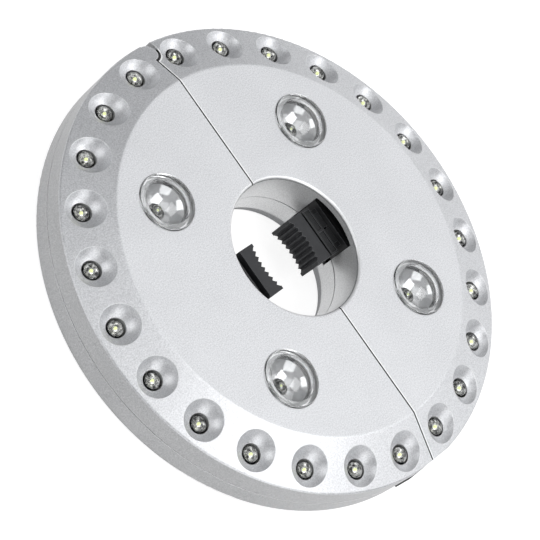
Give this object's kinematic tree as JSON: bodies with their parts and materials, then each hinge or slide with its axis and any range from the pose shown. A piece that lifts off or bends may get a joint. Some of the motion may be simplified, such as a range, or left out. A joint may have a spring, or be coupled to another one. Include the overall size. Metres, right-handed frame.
{
  "type": "patio umbrella light",
  "caption": "Round silver battery light that clamps round a parasol pole: two hinged half rings with a rim of small lamps, domed lenses and sprung toothed jaws.",
  "frame": {"origin": "centre of the pole passage, on the back face the light rests on", "axes": "+Z out of the lamp side, X along the jaws' travel with the right half at +X, Y along the seam with the hinge at +Y and the latch at -Y"},
  "size_m": [0.2, 0.1997, 0.0374],
  "materials": {
    "silver_shell": "satin silver paint on moulded plastic",
    "silver_plastic": "satin silver moulded plastic",
    "clear_lens": "clear polished",
    "clear_lamp": "clear lamp epoxy",
    "gray_reflector": "metallised gray bowl",
    "board": "white solder mask",
    "cell_wrap": "plain wrapped cell",
    "contact_metal": "plated spring strip",
    "spring_steel": "drawn wire",
    "screw_steel": "plated steel",
    "black_plastic": "satin black moulded plastic",
    "switch_plastic": "black switch body",
    "jaw_rubber": "dark moulded rubber"
  },
  "bodies": {
    "left_half": {"front_cover_left": "silver_shell", "back_cover_left": "silver_shell", "ring_lamps_left": "clear_lamp", "dome_lamps_left": "clear_lamp", "lamp_board_left": "board", "cells_left": "cell_wrap", "cell_contacts_left": "contact_metal", "cell_springs_left": "spring_steel", "jaw_guide_left": "black_plastic", "jaw_spring_left": "spring_steel", "cover_screws_left": "screw_steel", "guide_screws_left": "screw_steel", "hook_pin_left": "screw_steel", "lens_left_hinge_side": "clear_lens", "lens_left_latch_side": "clear_lens", "reflector_left_hinge_side": "gray_reflector", "reflector_left_latch_side": "gray_reflector", "hinge_pin": "screw_steel"},
    "right_half": {"front_cover_right": "silver_shell", "back_cover_right": "silver_shell", "ring_lamps_right": "clear_lamp", "dome_lamps_right": "clear_lamp", "lamp_board_right": "board", "cells_right": "cell_wrap", "cell_contacts_right": "contact_metal", "cell_springs_right": "spring_steel", "jaw_guide_right": "black_plastic", "jaw_spring_right": "spring_steel", "cover_screws_right": "screw_steel", "guide_screws_right": "screw_steel", "hook_pin_right": "screw_steel", "lens_right_hinge_side": "clear_lens", "lens_right_latch_side": "clear_lens", "reflector_right_hinge_side": "gray_reflector", "reflector_right_latch_side": "gray_reflector", "snap_finger": "black_plastic", "finger_screw": "screw_steel", "power_switch": "switch_plastic"},
    "left_jaw": {"jaw_carrier_left": "black_plastic", "jaw_pad_left": "jaw_rubber"},
    "right_jaw": {"jaw_carrier_right": "black_plastic", "jaw_pad_right": "jaw_rubber"},
    "latch_button": {"release_button": "black_plastic"},
    "switch_button": {"power_button": "black_plastic"},
    "left_hook": {"hanging_hook_left": "silver_plastic"},
    "right_hook": {"hanging_hook_right": "silver_plastic"},
    "left_door": {"battery_door_left": "silver_shell"},
    "right_door": {"battery_door_right": "silver_shell"}
  },
  "joints": [
    {"name": "half_hinge", "type": "hinge", "parent": "left_half", "child": "right_half", "pos_m": [0, 0.0957, 0], "axis": [0, 0, 1], "range_deg": [0, 60], "deforming": ["snap_finger"]},
    {"name": "left_jaw_slide", "type": "slide", "parent": "left_half", "child": "left_jaw", "axis": [-1, 0, 0], "range_m": [0, 0.0115], "stiffness_N_per_m": 500, "springref_m": -0.004, "deforming": ["jaw_spring_left"]},
    {"name": "right_jaw_slide", "type": "slide", "parent": "right_half", "child": "right_jaw", "axis": [1, 0, 0], "range_m": [0, 0.0115], "stiffness_N_per_m": 500, "springref_m": -0.004, "deforming": ["jaw_spring_right"]},
    {"name": "latch_press", "type": "slide", "parent": "left_half", "child": "latch_button", "axis": [0, 1, 0], "range_m": [0, 0.002], "stiffness_N_per_m": 1500, "springref_m": -0.001, "deforming": ["snap_finger"]},
    {"name": "switch_press", "type": "slide", "parent": "right_half", "child": "switch_button", "axis": [-0.866, 0.5, 0], "range_m": [0, 0.0008], "stiffness_N_per_m": 1500, "springref_m": -0.0004},
    {"name": "left_hook_hinge", "type": "hinge", "parent": "left_half", "child": "left_hook", "pos_m": [-0.028, -0.069, 0.0028], "axis": [-1, 0, 0], "range_deg": [0, 95]},
    {"name": "right_hook_hinge", "type": "hinge", "parent": "right_half", "child": "right_hook", "pos_m": [0.028, 0.069, 0.0028], "axis": [1, 0, 0], "range_deg": [0, 95]},
    {"name": "left_door_hinge", "type": "hinge", "parent": "left_half", "child": "left_door", "pos_m": [-0.062, -0.0325, 0.0021], "axis": [-1, 0, 0], "range_deg": [0, 90]},
    {"name": "right_door_hinge", "type": "hinge", "parent": "right_half", "child": "right_door", "pos_m": [0.062, 0.0325, 0.0021], "axis": [1, 0, 0], "range_deg": [0, 90]}
  ]
}
